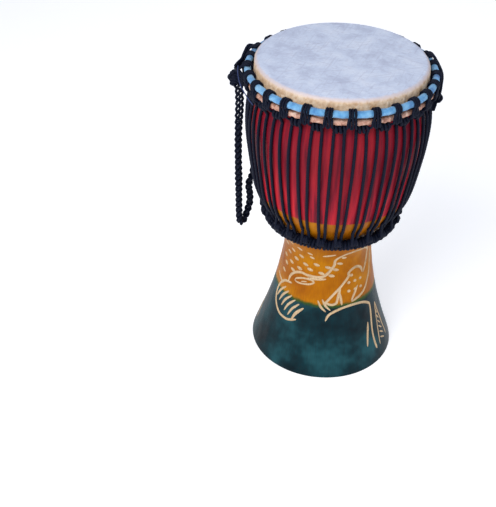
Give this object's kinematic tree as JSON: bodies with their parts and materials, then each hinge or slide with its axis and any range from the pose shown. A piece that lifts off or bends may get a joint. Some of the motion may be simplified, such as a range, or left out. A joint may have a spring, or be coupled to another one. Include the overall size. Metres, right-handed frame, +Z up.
{
  "type": "djembe drum",
  "caption": "Rope-tuned goblet hand drum: carved, painted wooden shell, skin head, cloth-bound rings, laced cords and a braided carrying strap.",
  "frame": {"origin": "centre of the foot on the drum's axis, on the floor it stands on", "axes": "+Z up along the drum's axis to the playing head; the carved front, the strap and the rope's tie-off are on the diagonals: front at azimuth 45 degrees from -Y towards +X, strap at -43"},
  "size_m": [0.3423, 0.3416, 0.61],
  "materials": {
    "painted_wood": "satin stain in red, amber and teal bands, pale carved grooves",
    "goatskin": "dry matt rawhide",
    "hoop_steel": "plain steel rod",
    "crown_steel": "plain steel rod",
    "bottom_steel": "plain steel rod",
    "blue_cloth": "plain woven cotton",
    "black_cloth": "plain woven cotton",
    "upper_cradle_cord": "matt braided cord",
    "lower_cradle_cord": "matt braided cord",
    "tension_cord": "matt braided cord",
    "tie_off_cord": "matt braided cord",
    "strand_cord_a": "matt braided cord",
    "strand_cord_b": "matt braided cord",
    "strand_cord_c": "matt braided cord",
    "top_knot_cord": "matt braided cord",
    "lower_knot_cord": "matt braided cord",
    "tie_cord": "thin twisted cord"
  },
  "bodies": {
    "drum_body": {"shell": "painted_wood", "bottom_ring": "bottom_steel", "bottom_ring_cloth": "black_cloth", "lower_cradle_rope": "lower_cradle_cord", "tension_rope": "tension_cord"},
    "head_assembly": {"drumhead": "goatskin", "flesh_hoop": "hoop_steel", "crown_ring": "crown_steel", "crown_ring_cloth": "blue_cloth", "upper_cradle_rope": "upper_cradle_cord", "tie_off_knot": "tie_off_cord", "strap_top_knot": "top_knot_cord", "strap_lower_knot": "lower_knot_cord", "strap_tie_cord": "tie_cord"},
    "strap": {"strap_strand_a": "strand_cord_a", "strap_strand_b": "strand_cord_b", "strap_strand_c": "strand_cord_c"}
  },
  "joints": [
    {"name": "head_tuning", "type": "slide", "parent": "drum_body", "child": "head_assembly", "axis": [0, 0, 1], "range_m": [0, 0.008], "deforming": ["tension_rope"]},
    {"name": "strap_swing", "type": "hinge", "parent": "head_assembly", "child": "strap", "pos_m": [-0.12276, -0.13164, 0.572], "axis": [-0.0372, 0.2461, -0.9685], "range_deg": [-10, 60]}
  ]
}
